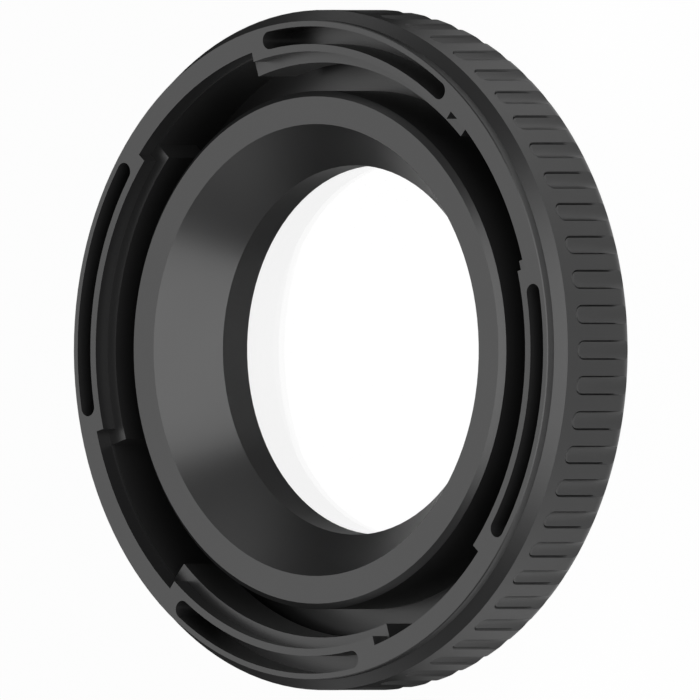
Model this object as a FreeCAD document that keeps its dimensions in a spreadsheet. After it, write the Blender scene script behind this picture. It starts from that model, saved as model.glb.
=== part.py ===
import FreeCAD, Part
import math
import os

import Sketcher
from FreeCAD import Placement, Rotation, Vector

# Lens guard: a black moulded ring that twists onto the lens ring of a small camera,
# and carries a clear protective lens glued into a seat in its outer end.
# Lengths are millimetres and angles are degrees. +Z points out of the mount side.
# Depths are measured down from the mount face, which is the top of the ring.

sizes = {
    "ring_height": 7.44,
    # bore and collar, from the axis outwards
    "bore_radius": 11.94,
    "bore_length": 2.27,
    "funnel_width": 2.68,
    "collar_face_width": 1.78,
    "collar_face_depth": 0.53,
    "collar_chamfer": 0.36,
    # trough, spring arms and slots, from the collar outwards
    "trough_width": 3.06,
    "trough_floor_height": 1.54,
    "gap_wall_step": 0.12,
    "gap_wall_depth": 1.20,
    "arm_reach": 0.62,
    "arm_thickness": 0.47,
    "arm_half_angle": 27.3,
    "key_gap_half_angle": 16.2,
    "slot_width": 1.15,
    "slot_depth": 2.60,
    "slot_end_margin": 4.8,
    # lugs
    "lug_count": 4,
    "lug_reach": 1.22,
    "lug_top_depth": 1.12,
    "lug_height": 3.48,
    "lug_overhang_angle": 2.7,
    # face rim and grip
    "face_rim_width": 0.40,
    "face_edge_break": 0.06,
    "grip_step": 0.66,
    "front_step_depth": 0.60,
    "front_cone_height": 0.60,
    "rear_round_height": 1.16,
    "rear_round_drop": 0.89,
    "notch_count": 60,
    "notch_width": 1.28,
    "notch_depth": 0.31,
    "notch_wall_depth": 0.06,
    "notch_wall_run": 0.03,
    "notch_start_depth": 2.07,
    # lens and its seat
    "lens_ledge": 1.06,
    "lens_side_clearance": 0.05,
    "lens_thickness": 0.50,
    "lens_sag": 0.25,
    "lens_recess": 0.07,
    "gasket_thickness": 0.15,
    "gasket_setback": 0.16,
}

doc = FreeCAD.newDocument("lens_guard")
sheet = doc.addObject("Spreadsheet::Sheet", "Sizes")
for row, (name, value) in enumerate(sizes.items(), start=1):
    sheet.set(f"A{row}", name)
    sheet.set(f"B{row}", str(value))
    sheet.setAlias(f"B{row}", name)
doc.recompute()


class Size:
    # A length or angle as both the sheet's formula and its present number.
    def __init__(self, text, number):
        self.text = text
        self.number = number

    def __add__(self, other):
        return Size(f"{self.text} + {other.text}", self.number + other.number)

    def __sub__(self, other):
        return Size(f"{self.text} - ({other.text})", self.number - other.number)

    def times(self, factor):
        return Size(f"({self.text}) * {factor}", self.number * factor)


def size(name):
    return Size(f"Sizes.{name}", float(sizes[name]))


def below_face(depth):
    return size("ring_height") - depth


ZERO = Size("0", 0.0)
FULL_TURN = 360.0


def new_body(label):
    body = doc.addObject("PartDesign::Body", label)
    body.Label = label
    return body


def origin_feature(body, role):
    return next(f for f in body.Origin.OriginFeatures if f.Role == role)


def new_sketch(body, name, plane_role):
    sketch = body.newObject("Sketcher::SketchObject", name)
    sketch.AttachmentSupport = [(origin_feature(body, plane_role), "")]
    sketch.MapMode = "FlatFace"
    return sketch


def raise_sketch(sketch, height):
    # Lifts a sketch along its own normal.
    sketch.AttachmentOffset = Placement(Vector(0, 0, height.number), Rotation())
    sketch.setExpression("AttachmentOffset.Base.z", height.text)


def bind(sketch, constraint, formula):
    sketch.setExpression(f"Constraints[{constraint}]", formula)


def place_point(sketch, edge, end, x, y):
    # Ties one end of an edge to its two coordinates.
    for kind, coordinate, axis in (("DistanceX", x, -2), ("DistanceY", y, -1)):
        if coordinate is ZERO:
            sketch.addConstraint(Sketcher.Constraint("PointOnObject", edge, end, axis))
            continue
        index = sketch.addConstraint(
            Sketcher.Constraint(kind, -1, 1, edge, end, coordinate.number))
        bind(sketch, index, coordinate.text)


def arc_between(start, finish, centre):
    # Arcs run anticlockwise, so the ends at which it starts and finishes are given with it.
    from_angle, to_angle = (math.atan2(p.y - centre.y, p.x - centre.x) for p in (start, finish))
    if abs(to_angle - from_angle) > math.pi:
        from_angle, to_angle = (angle % (2 * math.pi) for angle in (from_angle, to_angle))
    circle = Part.Circle(centre, Vector(0, 0, 1), (start - centre).Length)
    arc = Part.ArcOfCircle(circle, min(from_angle, to_angle), max(from_angle, to_angle))
    return (arc, 1, 2) if from_angle < to_angle else (arc, 2, 1)


def equidistant(near, far, along_near, along_far):
    # Where on one axis a centre lies that is as far from two points, whose coordinates
    # across and along that axis are given.
    gap = near ** 2 - far ** 2 + along_near ** 2 - along_far ** 2
    return gap / (2 * (along_near - along_far))


def arc_centre(kind, start, finish):
    if kind == "upright axis":
        return Vector(0, equidistant(start.x, finish.x, start.y, finish.y), 0)
    level = finish.y if kind == "level with finish" else 0.0
    across = (start.y - level, finish.y - level)
    return Vector(equidistant(*across, start.x, finish.x), level, 0)


def closed_profile(sketch, points, arcs=None):
    # Joins the points by straight edges, or by arcs where a kind of centre is given.
    arcs = arcs or {}
    count = len(points)
    ends = []
    for i, (x, y) in enumerate(points):
        next_x, next_y = points[(i + 1) % count]
        start = Vector(x.number, y.number, 0)
        finish = Vector(next_x.number, next_y.number, 0)
        if i in arcs:
            arc, start_end, finish_end = arc_between(start, finish, arc_centre(arcs[i], start, finish))
            sketch.addGeometry(arc, False)
            ends.append((start_end, finish_end))
        else:
            sketch.addGeometry(Part.LineSegment(start, finish), False)
            ends.append((1, 2))
    for i in range(count):
        j = (i + 1) % count
        sketch.addConstraint(Sketcher.Constraint("Coincident", i, ends[i][1], j, ends[j][0]))
    for i, (x, y) in enumerate(points):
        place_point(sketch, i, ends[i][0], x, y)
    for i, kind in arcs.items():
        if kind == "upright axis":
            sketch.addConstraint(Sketcher.Constraint("PointOnObject", i, 3, -2))
        elif kind == "level axis":
            sketch.addConstraint(Sketcher.Constraint("PointOnObject", i, 3, -1))
        else:
            sketch.addConstraint(Sketcher.Constraint("Horizontal", i, 3, i, ends[i][1]))


def revolve(body, sketch, name):
    feature = body.newObject("PartDesign::Revolution", name)
    feature.Profile = sketch
    feature.ReferenceAxis = (sketch, ["V_Axis"])
    feature.Angle = FULL_TURN
    doc.recompute()
    return feature


def sector(body, name, inner, outer, start, finish, height):
    # A flat ring sector, drawn at a height above the rear plane.
    sketch = new_sketch(body, name, "XY_Plane")
    raise_sketch(sketch, height)
    turns = [math.radians(a.number) for a in (start, finish)]
    axis = Vector(0, 0, 1)
    for radius in (inner, outer):
        circle = Part.Circle(Vector(0, 0, 0), axis, radius.number)
        sketch.addGeometry(Part.ArcOfCircle(circle, turns[0], turns[1]), False)
    for turn in turns:
        ray = Vector(math.cos(turn), math.sin(turn), 0)
        sketch.addGeometry(Part.LineSegment(ray * inner.number, ray * outer.number), False)
    for arc, radius in ((0, inner), (1, outer)):
        sketch.addConstraint(Sketcher.Constraint("Coincident", arc, 3, -1, 1))
        index = sketch.addConstraint(Sketcher.Constraint("Radius", arc, radius.number))
        bind(sketch, index, radius.text)
    for end, (line, angle) in enumerate(((2, start), (3, finish)), start=1):
        sketch.addConstraint(Sketcher.Constraint("Coincident", 0, end, line, 1))
        sketch.addConstraint(Sketcher.Constraint("Coincident", 1, end, line, 2))
        sketch.addConstraint(Sketcher.Constraint("PointOnObject", -1, 1, line))
        index = sketch.addConstraint(
            Sketcher.Constraint("Angle", line, math.radians(angle.number)))
        bind(sketch, index, angle.text)
    return sketch


def pad(body, sketch, name, length):
    feature = body.newObject("PartDesign::Pad", name)
    feature.Profile = sketch
    feature.Length = length.number
    feature.setExpression("Length", length.text)
    doc.recompute()
    return feature


def pocket(body, sketch, name, length, upwards=False):
    feature = body.newObject("PartDesign::Pocket", name)
    feature.Profile = sketch
    feature.Length = length.number
    feature.setExpression("Length", length.text)
    feature.Reversed = upwards
    doc.recompute()
    return feature


def around(body, features, name, count):
    pattern = body.newObject("PartDesign::PolarPattern", name)
    pattern.Originals = features
    pattern.Axis = (origin_feature(body, "Z_Axis"), [""])
    pattern.Angle = FULL_TURN
    pattern.Occurrences = int(count.number)
    pattern.setExpression("Occurrences", count.text)
    body.Tip = pattern
    doc.recompute()
    return pattern


# Radii, each worked out from its neighbour nearer the axis
funnel_mouth_radius = size("bore_radius") + size("funnel_width")
collar_radius = funnel_mouth_radius + size("collar_face_width") + size("collar_chamfer")
trough_outer_radius = collar_radius + size("trough_width")
gap_wall_radius = trough_outer_radius + size("gap_wall_step")
arm_radius = gap_wall_radius - size("arm_reach")
slot_inner_radius = arm_radius + size("arm_thickness")
slot_radius = slot_inner_radius + size("slot_width").times(0.5)
face_radius = slot_inner_radius + size("slot_width") + size("face_rim_width")
grip_radius = face_radius + size("grip_step")
lens_radius = size("bore_radius") + size("lens_ledge")

# Heights above the outer rim, on which the guard lies
lens_top = size("lens_recess") + size("lens_sag") + size("lens_thickness")
seat_height = lens_top + size("gasket_thickness")

# Angles of the lugs: they stand evenly, and the first is on +X
lug_half_angle = size("arm_half_angle") + size("lug_overhang_angle")
lug_pitch = Size("360 / Sizes.lug_count", FULL_TURN / sizes["lug_count"])


# Guard ring: grip, mount side, collar, funnel, bore and lens seat in one moulding
def make_ring():
    body = new_body("guard_ring")
    section = new_sketch(body, "ring_section", "XZ_Plane")
    face = size("ring_height")
    edge = size("face_edge_break")
    seat_radius = lens_radius + size("lens_side_clearance")
    step = below_face(size("front_step_depth"))
    wall_foot = below_face(size("gap_wall_depth"))
    floor = size("trough_floor_height")
    collar_face = below_face(size("collar_face_depth"))
    points = [
        (grip_radius - size("rear_round_drop"), ZERO),
        (grip_radius, size("rear_round_height")),
        (grip_radius, step - size("front_cone_height")),
        (face_radius, step),
        (face_radius, face - edge),
        (face_radius - edge, face),
        (gap_wall_radius, face),
        (gap_wall_radius, wall_foot),
        (trough_outer_radius, wall_foot),
        (trough_outer_radius, floor),
        (collar_radius, floor),
        (collar_radius, collar_face - size("collar_chamfer")),
        (collar_radius - size("collar_chamfer"), collar_face),
        (funnel_mouth_radius, collar_face),
        (size("bore_radius"), seat_height + size("bore_length")),
        (size("bore_radius"), seat_height),
        (seat_radius, seat_height),
        (seat_radius, ZERO),
    ]
    rear_round = 0
    closed_profile(section, points, {rear_round: "level with finish"})
    revolve(body, section, "ring_turned")
    add_lugs_and_arms(body)
    cut_slots(body)
    cut_notches(body)
    return body


def add_lugs_and_arms(body):
    # Lugs hang over the trough. A thin arm stands on each, out to the wall behind it.
    # Both run out to the middle of the slot that is cut behind them later.
    lug_radius = trough_outer_radius - size("lug_reach")
    lug_foot = below_face(size("lug_top_depth") + size("lug_height"))
    lug_plan = sector(body, "lug_plan", lug_radius, slot_radius,
                      lug_half_angle.times(-1), lug_half_angle, lug_foot)
    lug = pad(body, lug_plan, "lug", size("lug_height"))
    around(body, [lug], "lugs", size("lug_count"))

    arm_half = size("arm_half_angle")
    arm_foot = below_face(size("lug_top_depth"))
    arm_plan = sector(body, "arm_plan", arm_radius, slot_radius,
                      arm_half.times(-1), arm_half, arm_foot)
    arm = pad(body, arm_plan, "arm", size("lug_top_depth"))
    around(body, [arm], "arms", size("lug_count"))

    # One gap between the arms is narrower, so that the guard goes on one way round.
    lug_before = lug_pitch.times(2)
    lug_after = lug_pitch.times(3)
    key_middle = lug_pitch.times(2.5)
    key_half = size("key_gap_half_angle")
    arm_ends = (
        ("key_before", lug_before, key_middle - key_half),
        ("key_after", key_middle + key_half, lug_after),
    )
    for name, start, finish in arm_ends:
        plan = sector(body, f"{name}_plan", arm_radius, slot_radius, start, finish, arm_foot)
        body.Tip = pad(body, plan, name, size("lug_top_depth"))


def cut_slots(body):
    # A curved slot with round ends behind each arm leaves the arm a thin spring wall.
    half_width = size("slot_width").times(0.5)
    radii = (slot_inner_radius, slot_radius + half_width)
    half = size("arm_half_angle") - size("slot_end_margin")
    turn = math.radians(half.number)
    axis = Vector(0, 0, 1)
    plan = new_sketch(body, "slot_plan", "XY_Plane")
    raise_sketch(plan, size("ring_height"))
    for radius in radii:
        circle = Part.Circle(Vector(0, 0, 0), axis, radius.number)
        plan.addGeometry(Part.ArcOfCircle(circle, -turn, turn), False)
    cap_centres = [Vector(math.cos(a), math.sin(a), 0) * slot_radius.number for a in (-turn, turn)]
    for centre, cap_start in zip(cap_centres, (-turn - math.pi, turn)):
        circle = Part.Circle(centre, axis, half_width.number)
        plan.addGeometry(Part.ArcOfCircle(circle, cap_start, cap_start + math.pi), False)
    for centre in cap_centres:
        plan.addGeometry(Part.LineSegment(Vector(0, 0, 0), centre), True)
    for arc, radius in enumerate(radii):
        plan.addConstraint(Sketcher.Constraint("Coincident", arc, 3, -1, 1))
        index = plan.addConstraint(Sketcher.Constraint("Radius", arc, radius.number))
        bind(plan, index, radius.text)
    joins = ((0, 1, 2, 1), (1, 1, 2, 2), (0, 2, 3, 2), (1, 2, 3, 1))
    for arc, arc_end, cap, cap_end in joins:
        plan.addConstraint(Sketcher.Constraint("Tangent", arc, arc_end, cap, cap_end))
    for ray, cap, angle in ((4, 2, half.times(-1)), (5, 3, half)):
        plan.addConstraint(Sketcher.Constraint("Coincident", ray, 1, -1, 1))
        plan.addConstraint(Sketcher.Constraint("Coincident", ray, 2, cap, 3))
        index = plan.addConstraint(
            Sketcher.Constraint("Angle", ray, math.radians(angle.number)))
        bind(plan, index, angle.text)
    slot = pocket(body, plan, "slot", size("slot_depth"))
    around(body, [slot], "slots", size("lug_count"))


def cut_notches(body):
    # Each finger notch has short steep walls and a scooped floor. It runs from a round
    # front end out through the rear round.
    half_width = size("notch_width").times(0.5)
    foot_half_width = half_width - size("notch_wall_run")
    mouth_half_width = half_width + size("notch_wall_run")
    mouth = grip_radius + size("notch_wall_depth")
    wall_foot = grip_radius - size("notch_wall_depth")
    floor = grip_radius - size("notch_depth")
    end_height = below_face(size("notch_start_depth")) - half_width

    section = new_sketch(body, "notch_section", "XY_Plane")
    points = [
        (mouth, mouth_half_width.times(-1)),
        (mouth, mouth_half_width),
        (wall_foot, foot_half_width),
        (floor, ZERO),
        (wall_foot, foot_half_width.times(-1)),
    ]
    scoop_halves = (2, 3)
    closed_profile(section, points, {half: "level axis" for half in scoop_halves})
    straight = pocket(body, section, "notch_straight", end_height, upwards=True)

    half_section = new_sketch(body, "notch_end_section", "XZ_Plane")
    half_section.AttachmentOffset = Placement(Vector(0, end_height.number, 0), Rotation())
    half_section.setExpression("AttachmentOffset.Base.y", end_height.text)
    points = [
        (mouth, ZERO),
        (mouth, mouth_half_width),
        (wall_foot, foot_half_width),
        (floor, ZERO),
    ]
    scoop = 2
    closed_profile(half_section, points, {scoop: "level axis"})
    round_end = body.newObject("PartDesign::Groove", "notch_end")
    round_end.Profile = half_section
    round_end.ReferenceAxis = (half_section, ["H_Axis"])
    round_end.Angle = FULL_TURN / 2
    round_end.Midplane = True
    doc.recompute()
    around(body, [straight, round_end], "notches", size("notch_count"))


# Gasket: a flat black ring between the shoulder of the seat and the lens
def make_gasket():
    body = new_body("lens_gasket")
    section = new_sketch(body, "gasket_section", "XZ_Plane")
    inner = size("bore_radius") + size("gasket_setback")
    closed_profile(section, [
        (inner, lens_top),
        (lens_radius, lens_top),
        (lens_radius, seat_height),
        (inner, seat_height),
    ])
    revolve(body, section, "gasket_turned")
    return body


# Lens: clear, flat where it is glued, and very slightly domed outwards inside that
def make_lens():
    body = new_body("protective_lens")
    section = new_sketch(body, "lens_section", "XZ_Plane")
    rim_foot = lens_top - size("lens_thickness")
    dome_radius = size("bore_radius")
    sag = size("lens_sag")
    points = [
        (ZERO, lens_top - sag),
        (ZERO, rim_foot - sag),
        (dome_radius, rim_foot),
        (lens_radius, rim_foot),
        (lens_radius, lens_top),
        (dome_radius, lens_top),
    ]
    outer_surface = 1
    inner_surface = 5
    closed_profile(section, points,
                   {outer_surface: "upright axis", inner_surface: "upright axis"})
    revolve(body, section, "lens_turned")
    return body


pieces = [make_ring(), make_gasket(), make_lens()]
doc.recompute()

for item in doc.Objects:
    faults = [state for state in item.State if state in ("Invalid", "Error")]
    if faults:
        raise RuntimeError(f"{item.Name} failed: {item.State}")
for piece in pieces:
    if piece.Shape.isNull() or not piece.Shape.isValid():
        raise RuntimeError(f"{piece.Label} has no valid shape")

os.makedirs("parts", exist_ok=True)
for piece in pieces:
    piece.Shape.exportStep(f"parts/{piece.Label}.step")
    box = piece.Shape.BoundBox
    print(piece.Label, len(piece.Shape.Solids), round(piece.Shape.Volume, 3),
          [round(v, 3) for v in (box.XLength, box.YLength, box.ZLength)])
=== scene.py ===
import math

import bmesh
import bpy
from mathutils import Matrix, Vector


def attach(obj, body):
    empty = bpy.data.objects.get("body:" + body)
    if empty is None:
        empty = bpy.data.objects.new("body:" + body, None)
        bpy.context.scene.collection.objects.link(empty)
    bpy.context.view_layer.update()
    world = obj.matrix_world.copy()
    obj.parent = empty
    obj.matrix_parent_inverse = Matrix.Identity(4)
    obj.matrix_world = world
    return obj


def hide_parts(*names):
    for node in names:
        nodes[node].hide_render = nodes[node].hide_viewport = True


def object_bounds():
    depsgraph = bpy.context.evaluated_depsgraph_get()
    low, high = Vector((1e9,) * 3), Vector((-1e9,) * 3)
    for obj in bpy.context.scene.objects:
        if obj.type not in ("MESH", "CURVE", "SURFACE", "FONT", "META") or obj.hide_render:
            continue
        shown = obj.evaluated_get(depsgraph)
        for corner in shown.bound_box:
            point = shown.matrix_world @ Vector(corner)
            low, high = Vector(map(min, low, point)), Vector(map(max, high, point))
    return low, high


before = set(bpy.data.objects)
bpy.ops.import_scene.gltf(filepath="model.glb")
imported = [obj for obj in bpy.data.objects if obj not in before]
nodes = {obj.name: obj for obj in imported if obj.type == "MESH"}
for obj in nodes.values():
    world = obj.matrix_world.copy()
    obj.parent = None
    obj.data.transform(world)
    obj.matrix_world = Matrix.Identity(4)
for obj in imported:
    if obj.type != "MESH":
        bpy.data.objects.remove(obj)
sizeBefore = [list(corner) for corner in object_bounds()]
print("frame loaded:", sorted(nodes))


# Sockets and node trees

class Value:
    # One output socket, so that node maths reads as an expression.
    def __init__(self, tree, socket):
        self.tree = tree
        self.socket = socket

    def math(self, operation, *others):
        node = self.tree.add("ShaderNodeMath", operation=operation)
        for i, operand in enumerate((self, *others)):
            self.tree.feed(node.inputs[i], operand)
        return Value(self.tree, node.outputs[0])

    def __add__(self, other):
        return self.math("ADD", other)

    def __radd__(self, other):
        return self.math("ADD", other)

    def __sub__(self, other):
        return self.math("SUBTRACT", other)

    def __rsub__(self, other):
        return self.tree.number(other).math("SUBTRACT", self)

    def __mul__(self, other):
        return self.math("MULTIPLY", other)

    def __rmul__(self, other):
        return self.math("MULTIPLY", other)

    def __truediv__(self, other):
        return self.math("DIVIDE", other)

    def __rtruediv__(self, other):
        return self.tree.number(other).math("DIVIDE", self)

    def clamped(self):
        return self.math("MAXIMUM", 0.0).math("MINIMUM", 1.0)


class Tree:
    # A node tree, filled through one method: type, settings, then sockets.
    def __init__(self, nodeTree):
        self.nodeTree = nodeTree

    def add(self, kind, inputs=None, **settings):
        node = self.nodeTree.nodes.new(kind)
        for name, setting in settings.items():
            setattr(node, name, setting)
        for name, source in (inputs or {}).items():
            self.feed(node.inputs[name], source)
        return node

    def feed(self, socket, source):
        if isinstance(source, Value):
            source = source.socket
        if isinstance(source, bpy.types.NodeSocket):
            self.nodeTree.links.new(source, socket)
        else:
            socket.default_value = source

    def number(self, value):
        node = self.add("ShaderNodeValue")
        node.outputs[0].default_value = value
        return Value(self, node.outputs[0])

    def value(self, kind, output, inputs=None, **settings):
        return Value(self, self.add(kind, inputs, **settings).outputs[output])


def newMaterial(name):
    material = bpy.data.materials.new(name)
    material.use_nodes = True
    material.node_tree.nodes.clear()
    return material, Tree(material.node_tree)


def finishMaterial(tree, shader):
    tree.add("ShaderNodeOutputMaterial", {"Surface": shader})


def paint(piece, material):
    piece.data.materials.clear()
    piece.data.materials.append(material)


# Black plastic

plasticLook = {
    "colour": (0.017, 0.017, 0.0172),
    "roughness": 0.31,
    "ior": 1.63,
    "driftScale": 260.0,          # slow drift of tone and gloss over the moulding
    "roughnessSpread": 0.05,
    "toneSpread": 0.05,
    "grainSize": 0.00006,         # metres, as the grain's height is
    "grainHeight": 0.000002,
    "grainStrength": 0.6,
}


def makePlastic(look):
    material, tree = newMaterial("moulded_plastic")
    place = tree.value("ShaderNodeTexCoord", "Object")
    grain = tree.value("ShaderNodeTexNoise", "Fac",
                       {"Vector": place, "Scale": 1 / look["grainSize"], "Detail": 2.0})
    drift = tree.value("ShaderNodeTexNoise", "Fac",
                       {"Vector": place, "Scale": look["driftScale"], "Detail": 3.0})
    tone = 1 + (drift - 0.5) * look["toneSpread"]
    colour = tree.add("ShaderNodeVectorMath", {0: look["colour"]}, operation="SCALE")
    tree.feed(colour.inputs["Scale"], tone)
    rough = look["roughness"] + (drift - 0.5) * look["roughnessSpread"]
    bump = tree.add("ShaderNodeBump", {"Height": grain, "Distance": look["grainHeight"],
                                       "Strength": look["grainStrength"]})
    shader = tree.add("ShaderNodeBsdfPrincipled", {
        "Base Color": colour.outputs[0],
        "Roughness": rough,
        "IOR": look["ior"],
        "Normal": bump.outputs[0],
    })
    finishMaterial(tree, shader.outputs[0])
    return material


# Gasket rubber

gasketLook = {"colour": (0.02, 0.02, 0.02), "roughness": 0.7, "roughnessSpread": 0.1,
              "mottleScale": 900.0}


def makeGasketMaterial(look):
    material, tree = newMaterial("gasket_rubber")
    place = tree.value("ShaderNodeTexCoord", "Object")
    mottle = tree.value("ShaderNodeTexNoise", "Fac",
                        {"Vector": place, "Scale": look["mottleScale"]})
    shader = tree.add("ShaderNodeBsdfPrincipled", {
        "Base Color": (*look["colour"], 1),
        "Roughness": look["roughness"] + (mottle - 0.5) * look["roughnessSpread"],
    })
    finishMaterial(tree, shader.outputs[0])
    return material


# Clear lens

lensLook = {"ior": 1.49, "roughness": 0.01, "hazeScale": 500.0}


def makeLensMaterial(look):
    material, tree = newMaterial("lens_glass")
    place = tree.value("ShaderNodeTexCoord", "Object")
    haze = tree.value("ShaderNodeTexNoise", "Fac", {"Vector": place, "Scale": look["hazeScale"]})
    shader = tree.add("ShaderNodeBsdfPrincipled", {
        "Base Color": (1, 1, 1, 1),
        "Roughness": look["roughness"] * haze,
        "IOR": look["ior"],
        "Transmission Weight": 1.0,
    })
    finishMaterial(tree, shader.outputs[0])
    return material


# Guard ring: the moulded ring, with a fine line cut round the edge of each grip notch

ringLook = {
    "notchCount": 60,
    "roundSteps": 10,             # along the round end of a notch
    "footShare": 0.12,            # of a line's width, at its foot
    "proudShare": 0.3,            # of its depth, by which its cutter stands out of the ring
    "fadeShare": 1.1,             # of its depth, by which its ends come up
    "sharpAngle": 32.0,
    "lines": {                    # millimetres, with heights above the rear rim
        "Half Width": 0.66,
        "Line Width": 0.13,
        "Line Depth": 0.31,
        "Round Middle": 4.73,
        "Fade From": 1.95,
        "Fade To": 1.20,
    },
}
looseVertexReach = 1e-7


def makeNotchTree(look, ringRadius, material):
    # One U-shaped cutter is bent from a long box, repeated round the ring and taken out of it.
    nodeTree = bpy.data.node_groups.new("notch_lines", "GeometryNodeTree")
    nodeTree.interface.new_socket("Ring", in_out="INPUT", socket_type="NodeSocketGeometry")
    sizes = {"Ring Radius": ringRadius}
    sizes.update({name: length / 1000 for name, length in look["lines"].items()})
    for name in sizes:
        nodeTree.interface.new_socket(name, in_out="INPUT", socket_type="NodeSocketFloat")
    nodeTree.interface.new_socket("Count", in_out="INPUT", socket_type="NodeSocketInt")
    nodeTree.interface.new_socket("Ring", in_out="OUTPUT", socket_type="NodeSocketGeometry")
    tree = Tree(nodeTree)
    given = tree.add("NodeGroupInput").outputs

    def size(name):
        return Value(tree, given[name])

    # Each leg of the U has one row where it starts to fade and one where it ends.
    roundSteps = look["roundSteps"]
    legRows = 2
    rows = roundSteps + 1 + 2 * legRows
    bar = tree.value("GeometryNodeMeshCube", "Mesh",
                     {"Size": (1, 1, 1), "Vertices X": 2, "Vertices Y": rows, "Vertices Z": 2})
    centred = tree.value("GeometryNodeInputPosition", 0)
    place = tree.add("ShaderNodeVectorMath", {0: centred, 1: (0.5, 0.5, 0.5)}, operation="ADD")
    axes = tree.add("ShaderNodeSeparateXYZ", {0: place.outputs[0]}).outputs
    outwards, along, across = (Value(tree, axis) for axis in axes)
    row = along * (rows - 1)
    bend = ((row - legRows) / roundSteps).clamped() * math.pi
    leg = (row - (rows - 1) / 2).math("ABSOLUTE") - roundSteps / 2
    straight = leg.clamped()
    fading = (leg - 1).clamped()
    width = size("Line Width") * (look["footShare"] + (1 - look["footShare"]) * outwards)
    reach = size("Half Width") - size("Line Width") + across * width
    height = size("Round Middle") + bend.math("SINE") * reach
    height = height - straight * (size("Round Middle") - size("Fade From"))
    height = height - fading * (size("Fade From") - size("Fade To"))
    depth = size("Line Depth") * (1 - fading * look["fadeShare"])
    margin = size("Line Depth") * look["proudShare"]
    radius = size("Ring Radius") + margin - (1 - outwards) * (depth + margin)
    bentPlace = tree.value("ShaderNodeCombineXYZ", 0,
                           {"X": radius, "Y": -1 * bend.math("COSINE") * reach, "Z": height})
    cutter = tree.value("GeometryNodeSetPosition", 0, {"Geometry": bar, "Position": bentPlace})

    points = tree.value("GeometryNodeMeshLine", 0, {"Count": given["Count"], "Offset": (0, 0, 0)})
    turnEach = tree.value("GeometryNodeInputIndex", 0) * (2 * math.pi) / size("Count")
    rotation = tree.value("ShaderNodeCombineXYZ", 0, {"Z": turnEach})
    cutters = tree.value("GeometryNodeInstanceOnPoints", 0,
                         {"Points": points, "Instance": cutter, "Rotation": rotation})
    cut = tree.value("GeometryNodeMeshBoolean", 0, {"Mesh 1": given["Ring"], "Mesh 2": cutters},
                     operation="DIFFERENCE", solver="MANIFOLD")
    realized = tree.value("GeometryNodeRealizeInstances", 0, {"Geometry": cut})
    covered = tree.value("GeometryNodeSetMaterial", 0, {"Geometry": realized, "Material": material})
    tree.add("NodeGroupOutput", {"Ring": covered})
    return nodeTree, {**sizes, "Count": look["notchCount"]}


def closedCopy(piece, name):
    # The CAD mesh is loose triangles, so a copy of it is joined up before it is cut.
    mesh = bpy.data.meshes.new(name)
    bm = bmesh.new()
    bm.from_mesh(piece.data)
    bmesh.ops.remove_doubles(bm, verts=bm.verts, dist=looseVertexReach)
    bm.to_mesh(mesh)
    bm.free()
    if "custom_normal" in mesh.attributes:
        mesh.attributes.remove(mesh.attributes["custom_normal"])
    return mesh


def makeRing(look, material):
    ringRadius = (sizeBefore[1][0] - sizeBefore[0][0]) / 2
    source = bpy.data.objects.new("ring_source", closedCopy(nodes["guard_ring"], "ring_source"))
    bpy.context.scene.collection.objects.link(source)
    modifier = source.modifiers.new("notch_lines", "NODES")
    nodeTree, given = makeNotchTree(look, ringRadius, material)
    modifier.node_group = nodeTree
    for socket in nodeTree.interface.items_tree:
        if socket.in_out == "INPUT" and socket.name in given:
            modifier[socket.identifier] = given[socket.name]
    evaluated = source.evaluated_get(bpy.context.evaluated_depsgraph_get())
    mesh = bpy.data.meshes.new_from_object(evaluated)
    mesh.shade_smooth()
    mesh.set_sharp_from_angle(angle=math.radians(look["sharpAngle"]))
    bpy.data.objects.remove(source)
    ring = bpy.data.objects.new("moulded_ring", mesh)
    bpy.context.scene.collection.objects.link(ring)
    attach(ring, "root")
    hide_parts("guard_ring")
    print("ring made:", len(mesh.polygons), "faces from", len(nodes["guard_ring"].data.polygons))


blackPlastic = makePlastic(plasticLook)
paint(nodes["guard_ring"], blackPlastic)
makeRing(ringLook, blackPlastic)
paint(nodes["lens_gasket"], makeGasketMaterial(gasketLook))
paint(nodes["protective_lens"], makeLensMaterial(lensLook))
print("materials made")


# Camera, at the photo's angle

shot = {
    "turn": -78.0,                # degrees, as the tilt from straight above is
    "tilt": 44.03,
    "pixels": 700,
    "millimetresPerPixel": 0.064668,
    "asideMillimetres": 2.561,    # from the middle of the mount face to the middle of the image
    "distance": 0.4,
}
turn, tilt = math.radians(shot["turn"]), math.radians(shot["tilt"])
aside = Vector((math.cos(turn), math.sin(turn), 0))
imageUp = Vector((-math.sin(turn), math.cos(turn), 0))
imageRight = aside * math.cos(tilt) - Vector((0, 0, math.sin(tilt)))
towardsCamera = aside * math.sin(tilt) + Vector((0, 0, math.cos(tilt)))


def makeCamera(look):
    data = bpy.data.cameras.new("photo_camera")
    data.type = "ORTHO"
    data.ortho_scale = look["pixels"] * look["millimetresPerPixel"] / 1000
    data.clip_start = 0.01
    data.clip_end = 10
    camera = bpy.data.objects.new("photo_camera", data)
    bpy.context.scene.collection.objects.link(camera)
    faceHeight = sizeBefore[1][2]
    aim = Vector((0, 0, faceHeight)) + imageRight * look["asideMillimetres"] / 1000
    basis = Matrix((imageRight, imageUp, towardsCamera)).transposed().to_4x4()
    camera.matrix_world = Matrix.Translation(aim + towardsCamera * look["distance"]) @ basis
    bpy.context.scene.camera = camera


makeCamera(shot)


# Lamps: each stands in a direction given as aside (level, to the right of the image), up the
# image and above the floor. Two tall softboxes light the plastic and two low cards the funnel.

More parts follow.
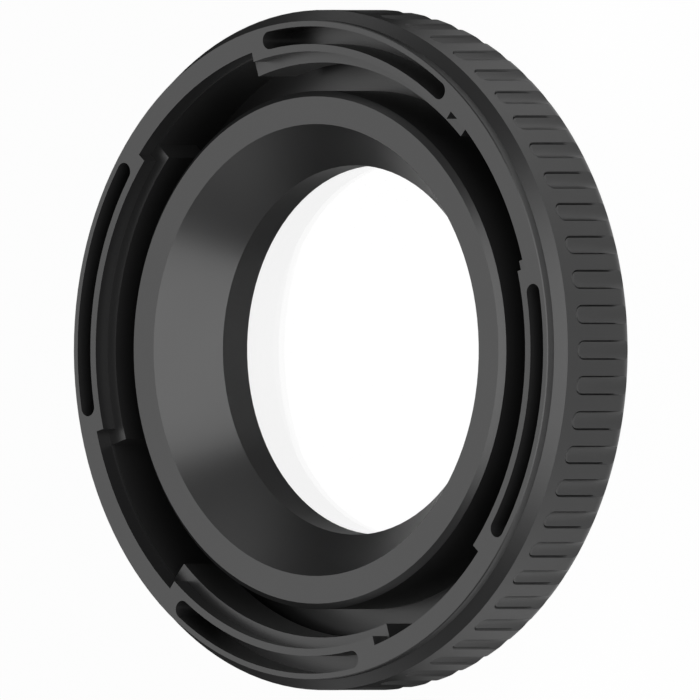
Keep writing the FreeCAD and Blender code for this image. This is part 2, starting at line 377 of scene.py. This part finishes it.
lamps = {
    "left_softbox": {"aside": -0.72, "up": 0.0, "above": 0.69, "width": 0.95, "height": 1.1,
                     "radiance": 1.2},
    "right_softbox": {"aside": 0.84, "up": 0.0, "above": 0.54, "width": 0.75, "height": 1.95,
                      "radiance": 2.3},
    "upper_card": {"aside": 0.0, "up": 1.0, "above": 0.15, "width": 1.8, "height": 0.25,
                   "radiance": 0.65},
    "lower_card": {"aside": 0.0, "up": -1.0, "above": 0.15, "width": 1.8, "height": 0.25,
                   "radiance": 0.65},
}
lampDistance = 0.9                # metres, as the lamps' sizes are


def makeLamp(name, look):
    data = bpy.data.lights.new(name, "AREA")
    data.shape = "RECTANGLE"
    data.size, data.size_y = look["width"], look["height"]
    data.energy = look["radiance"] * math.pi * look["width"] * look["height"]
    direction = aside * look["aside"] + imageUp * look["up"] + Vector((0, 0, look["above"]))
    direction.normalize()
    across = imageUp.cross(direction).normalized()
    upright = direction.cross(across)
    lamp = bpy.data.objects.new(name, data)
    bpy.context.scene.collection.objects.link(lamp)
    basis = Matrix((across, upright, direction)).transposed().to_4x4()
    lamp.matrix_world = Matrix.Translation(direction * lampDistance) @ basis
    lamp.visible_camera = False


for lampName, lampLook in lamps.items():
    makeLamp(lampName, lampLook)


# World and floor

# The floor looks white. What the plastic mirrors of it is painted: a broad pale strip to the right,
# a painted shadow behind the object and painted shade just right of the ring's foot. Places are in
# millimetres, to the right.
floorLook = {"paleTone": 0.95, "shadowTone": 0.05, "shadowEdgeFrom": 1.0, "shadowEdgeTo": 15.0,
             "contactShadeFrom": 21.0, "contactShadeTo": 27.0, "contactShadeShare": 0.22, "glow": 0.98,
             "glossShare": 0.32, "glassShare": 0.12, "halfWidth": 1.5}
worldLook = {"colour": (1, 1, 1, 1), "strength": 0.09, "seenStrength": 1.0}


def seenDirectly(tree, glossShare, glassShare):
    # 1 for rays straight from the camera, also through glass. Rays off gloss get a share, and
    # rays that bounced before they went through glass get another.
    path = tree.add("ShaderNodeLightPath")

    def kind(name):
        return Value(tree, path.outputs[name])

    bounced = (kind("Diffuse Depth") + kind("Glossy Depth")).clamped()
    throughGlass = kind("Is Transmission Ray") * (1 - bounced * (1 - glassShare))
    offGloss = kind("Is Glossy Ray") * glossShare * (1 - kind("Is Transmission Ray"))
    return kind("Is Camera Ray").math("MAXIMUM", throughGlass).math("MAXIMUM", offGloss)


def makeWorld(look):
    world = bpy.data.worlds.new("studio")
    world.use_nodes = True
    world.node_tree.nodes.clear()
    tree = Tree(world.node_tree)
    lit, seen = look["strength"], look["seenStrength"]
    strength = lit + seenDirectly(tree, 0.0, 0.0) * (seen - lit)
    background = tree.add("ShaderNodeBackground", {"Color": look["colour"], "Strength": strength})
    tree.add("ShaderNodeOutputWorld", {"Surface": background.outputs[0]})
    bpy.context.scene.world = world


def makeFloor(look):
    half = look["halfWidth"]
    mesh = bpy.data.meshes.new("floor")
    corners = [(-half, -half, 0), (half, -half, 0), (half, half, 0), (-half, half, 0)]
    mesh.from_pydata(corners, [], [(0, 1, 2, 3)])
    floor = bpy.data.objects.new("floor", mesh)
    bpy.context.scene.collection.objects.link(floor)
    material, tree = newMaterial("pale_floor")
    place = tree.value("ShaderNodeTexCoord", "Object")
    along = tree.value("ShaderNodeVectorMath", "Value", {0: place, 1: aside},
                       operation="DOT_PRODUCT")

    def ramp(start, stop):
        return ((along * 1000 - look[start]) / (look[stop] - look[start])).clamped()

    # Painted shade on the floor: dark behind the object, rising to pale, then falling a little just
    # right of the ring's foot.
    unshadedShare = ramp("shadowEdgeFrom", "shadowEdgeTo") * (1 - ramp("contactShadeFrom", "contactShadeTo") * look["contactShadeShare"])
    tone = look["shadowTone"] + unshadedShare * (look["paleTone"] - look["shadowTone"])
    paper = tree.add("ShaderNodeBsdfPrincipled",
                     {"Base Color": tone, "Roughness": 1.0, "Specular IOR Level": 0.0})
    glow = tree.add("ShaderNodeEmission", {"Color": (1, 1, 1, 1), "Strength": 1.0})
    # Reflections see the floor glow only where it is unshaded, so the painted reflection follows
    # the painted shade.
    seen = seenDirectly(tree, unshadedShare * look["glossShare"], look["glassShare"])
    mixed = tree.add("ShaderNodeMixShader", {
        "Fac": seen * look["glow"],
        1: paper.outputs[0],
        2: glow.outputs[0],
    })
    finishMaterial(tree, mixed.outputs[0])
    mesh.materials.append(material)
    return floor


makeWorld(worldLook)
makeFloor(floorLook)
bpy.context.scene.view_settings.view_transform = "Standard"
print("camera, lamps and floor placed")
